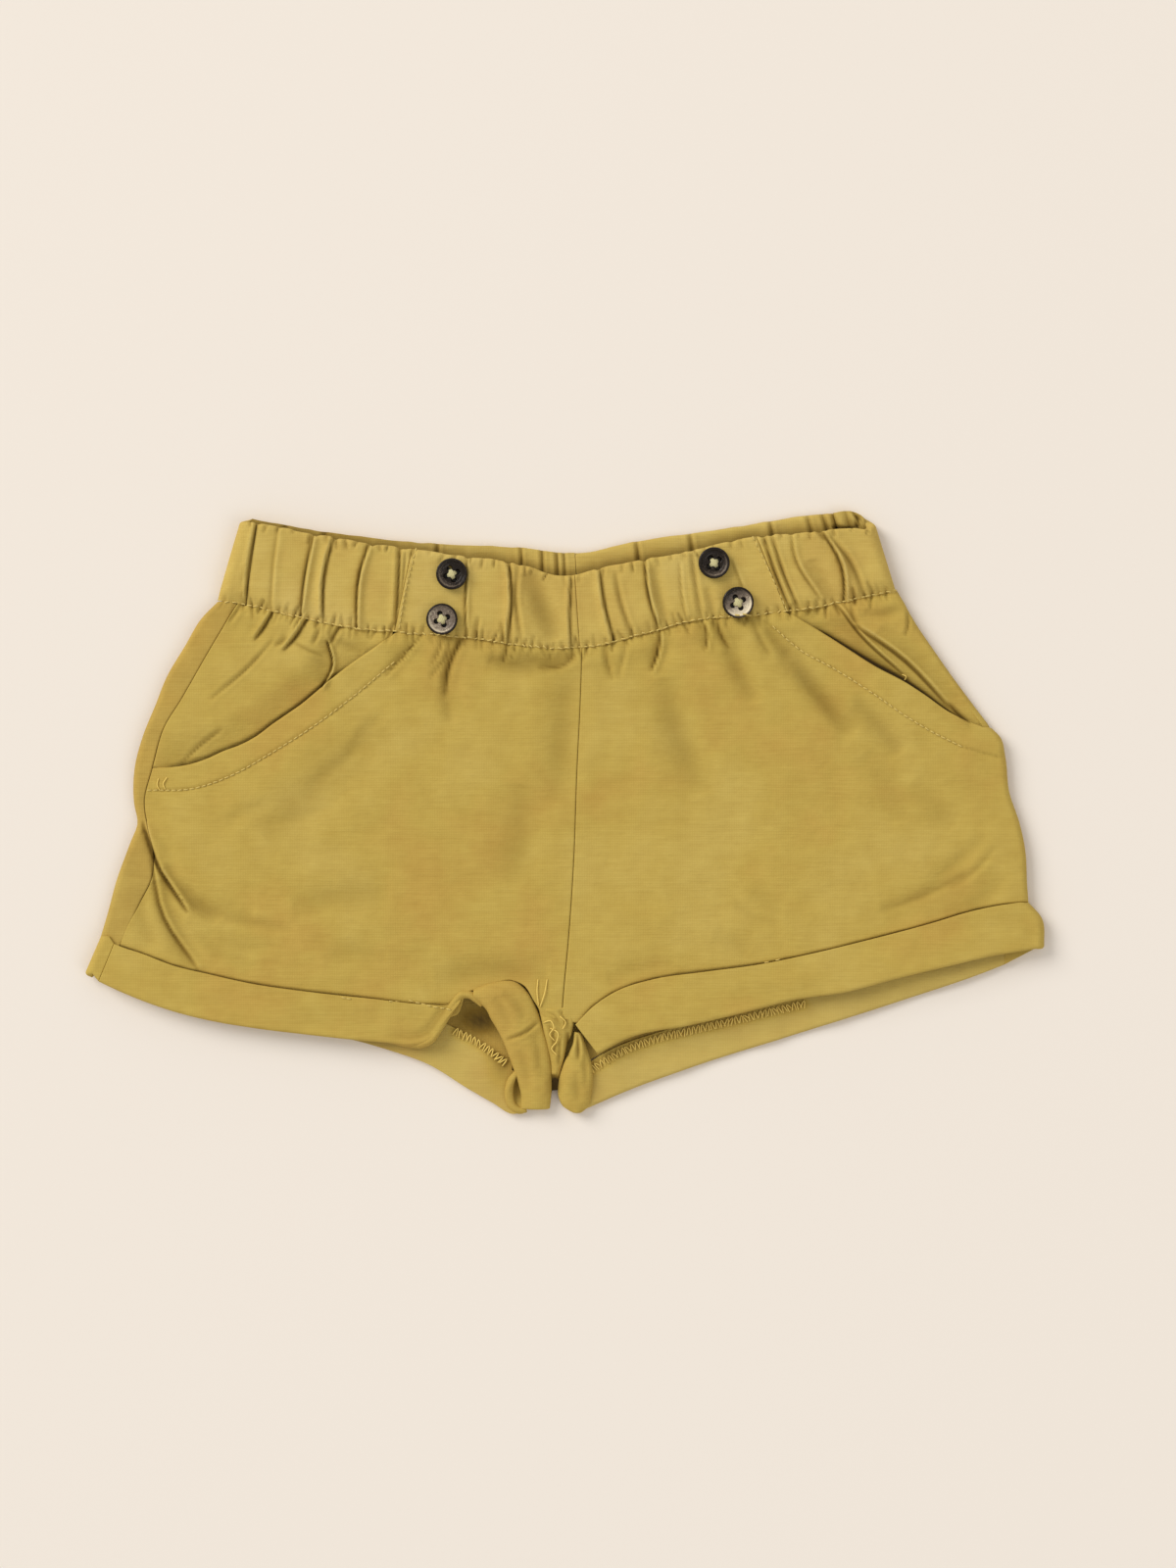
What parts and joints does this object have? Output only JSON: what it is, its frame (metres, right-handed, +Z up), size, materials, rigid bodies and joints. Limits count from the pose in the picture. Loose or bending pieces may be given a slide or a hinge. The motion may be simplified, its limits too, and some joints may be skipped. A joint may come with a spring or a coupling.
{
  "type": "baby shorts",
  "caption": "Baby shorts laid flat: elastic waist casing, slanted side pockets with folded bands, turned-up hems and small buttons on the waist tabs.",
  "frame": {"origin": "on the table, under the middle of the garment's outline", "axes": "+X to the right of the garment as seen from above, +Y towards the waist, +Z up from the table"},
  "size_m": [0.3126, 0.1966, 0.01],
  "materials": {
    "cloth": "garment-dyed mustard cotton slub jersey, matte",
    "casing": "the same cotton, gathered over elastic",
    "hem": "the same cotton, turned up and pressed",
    "inside": "inner face of the same cotton, matte",
    "button": "dark horn-look polyester, satin"
  },
  "bodies": {
    "root": {"back_left": "inside", "back_right": "inside", "front_left": "cloth", "front_right": "cloth", "pocket_back_left": "cloth", "pocket_back_right": "cloth", "pocket_band_left": "cloth", "pocket_band_right": "cloth", "waist_front_left": "casing", "waist_front_right": "casing", "waist_side_left": "casing", "waist_side_right": "casing", "waist_back_left": "casing", "waist_back_right": "casing", "hem_front_left": "hem", "hem_front_right": "hem", "hem_back_left": "hem", "hem_back_right": "hem", "hem_inner_left": "hem", "hem_inner_right": "hem", "crotch_fold": "cloth", "button_left_upper": "button", "button_left_lower": "button", "button_right_upper": "button", "button_right_lower": "button"}
  },
  "joints": []
}
